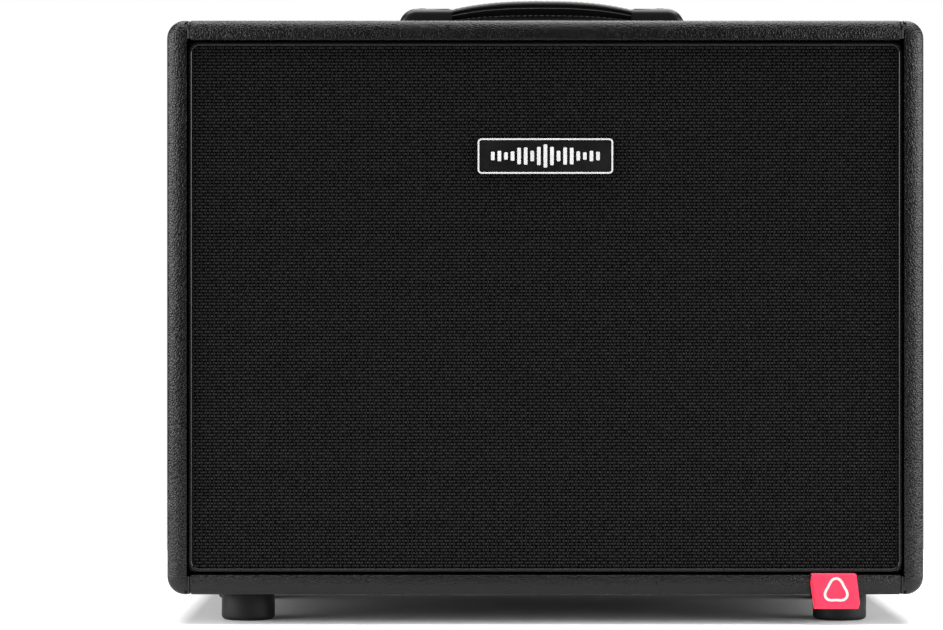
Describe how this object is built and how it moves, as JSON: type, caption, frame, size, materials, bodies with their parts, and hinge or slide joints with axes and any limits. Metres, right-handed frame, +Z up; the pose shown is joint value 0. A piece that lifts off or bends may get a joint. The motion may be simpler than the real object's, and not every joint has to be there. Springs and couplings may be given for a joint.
{
  "type": "guitar amplifier",
  "caption": "Closed-back guitar amplifier cabinet with a woven grille, textured vinyl covering, strap handle, rubber feet and a power module in its back.",
  "frame": {"origin": "on the floor, under the middle of the cabinet", "axes": "+X to the right seen from the front, the front faces -Y, +Z up"},
  "size_m": [0.53, 0.2782, 0.4481],
  "materials": {
    "vinyl": "black textured vinyl with a leather grain",
    "plywood": "plywood sealed with black stain",
    "edge_bead": "glossy black vinyl bead",
    "grille_cloth": "black and dark grey woven grille cloth",
    "frame_wood": "wood stained black",
    "badge": "black with a white border and white bars",
    "tag": "red satin ribbon with a white printed mark",
    "rubber": "matt black rubber",
    "strap": "soft grained black vinyl strap",
    "moulded_plastic": "black moulded plastic",
    "painted_steel": "fine-textured black powder coat",
    "plated_steel": "zinc-plated steel",
    "ferrite": "ground ferrite",
    "cone_paper": "ribbed black paper",
    "treated_cloth": "resin-dipped cotton",
    "copper": "enamelled copper",
    "circuit_board": "green solder mask",
    "core_steel": "varnished laminated steel",
    "aluminium": "black-edged extrusion",
    "lead": "red and black sleeved lead"
  },
  "bodies": {
    "cabinet": {"amp_panel": "painted_steel", "amp_tray": "plated_steel", "back_cleats": "plywood", "back_panel": "vinyl", "badge_plate": "badge", "baffle_board": "plywood", "baffle_cleats": "plywood", "bottom_board": "plywood", "bottom_covering": "vinyl", "compression_driver": "painted_steel", "control_board": "circuit_board", "fabric_tag": "tag", "foot_back_left": "rubber", "foot_back_right": "rubber", "foot_front_left": "rubber", "foot_front_right": "rubber", "grille_cloth": "grille_cloth", "grille_frame": "frame_wood", "grille_piping": "edge_bead", "handle_cap_left": "moulded_plastic", "handle_cap_right": "moulded_plastic", "handle_neck_left": "strap", "handle_neck_right": "strap", "heat_sink": "aluminium", "horn": "moulded_plastic", "input_jack": "moulded_plastic", "input_panel": "painted_steel", "left_board": "plywood", "left_covering": "vinyl", "link_jack": "plated_steel", "mains_inlet": "moulded_plastic", "power_switch_bezel": "moulded_plastic", "right_board": "plywood", "right_covering": "vinyl", "seam_bead_bottom_left": "edge_bead", "seam_bead_bottom_right": "edge_bead", "seam_bead_top_left": "edge_bead", "seam_bead_top_right": "edge_bead", "speaker_lead": "lead", "top_board": "plywood", "top_covering": "vinyl", "transformer": "core_steel", "woofer_back_plate": "plated_steel", "woofer_basket": "painted_steel", "woofer_gasket": "rubber", "woofer_magnet": "ferrite", "woofer_spider": "treated_cloth", "woofer_surround": "treated_cloth", "woofer_top_plate": "plated_steel"},
    "handle": {"handle_grip": "strap"},
    "volume_knob": {"volume_knob": "moulded_plastic"},
    "bass_knob": {"bass_knob": "moulded_plastic"},
    "middle_knob": {"middle_knob": "moulded_plastic"},
    "treble_knob": {"treble_knob": "moulded_plastic"},
    "ground_lift_button": {"ground_lift_button": "moulded_plastic"},
    "power_rocker": {"power_rocker": "moulded_plastic"},
    "input_latch": {"input_jack_latch": "plated_steel"},
    "speaker_cone": {"woofer_cone": "cone_paper", "woofer_dust_cap": "cone_paper", "woofer_voice_coil": "copper"}
  },
  "joints": [
    {"name": "handle_lift", "type": "slide", "parent": "cabinet", "child": "handle", "axis": [0, 0, 1], "range_m": [0, 0.016], "deforming": ["handle_neck_left", "handle_neck_right"]},
    {"name": "volume_turn", "type": "hinge", "parent": "cabinet", "child": "volume_knob", "pos_m": [0.084, 0.1203, 0.346], "axis": [0, 1, 0], "range_deg": [-150, 150]},
    {"name": "bass_turn", "type": "hinge", "parent": "cabinet", "child": "bass_knob", "pos_m": [0.042, 0.1203, 0.346], "axis": [0, 1, 0], "range_deg": [-150, 150]},
    {"name": "middle_turn", "type": "hinge", "parent": "cabinet", "child": "middle_knob", "pos_m": [0, 0.1203, 0.346], "axis": [0, 1, 0], "range_deg": [-150, 150]},
    {"name": "treble_turn", "type": "hinge", "parent": "cabinet", "child": "treble_knob", "pos_m": [-0.042, 0.1203, 0.346], "axis": [0, 1, 0], "range_deg": [-150, 150]},
    {"name": "ground_lift_press", "type": "slide", "parent": "cabinet", "child": "ground_lift_button", "axis": [0, -1, 0], "range_m": [0, 0.002], "stiffness_N_per_m": 300},
    {"name": "power_rock", "type": "hinge", "parent": "cabinet", "child": "power_rocker", "pos_m": [0.162, 0.1209, 0.353], "axis": [1, 0, 0], "range_deg": [0, 22]},
    {"name": "input_latch_press", "type": "slide", "parent": "cabinet", "child": "input_latch", "axis": [0, -1, 0], "range_m": [0, 0.002], "stiffness_N_per_m": 300},
    {"name": "cone_travel", "type": "slide", "parent": "cabinet", "child": "speaker_cone", "axis": [0, -1, 0], "range_m": [-0.005, 0.005], "stiffness_N_per_m": 3000, "deforming": ["woofer_surround", "woofer_spider"]}
  ]
}
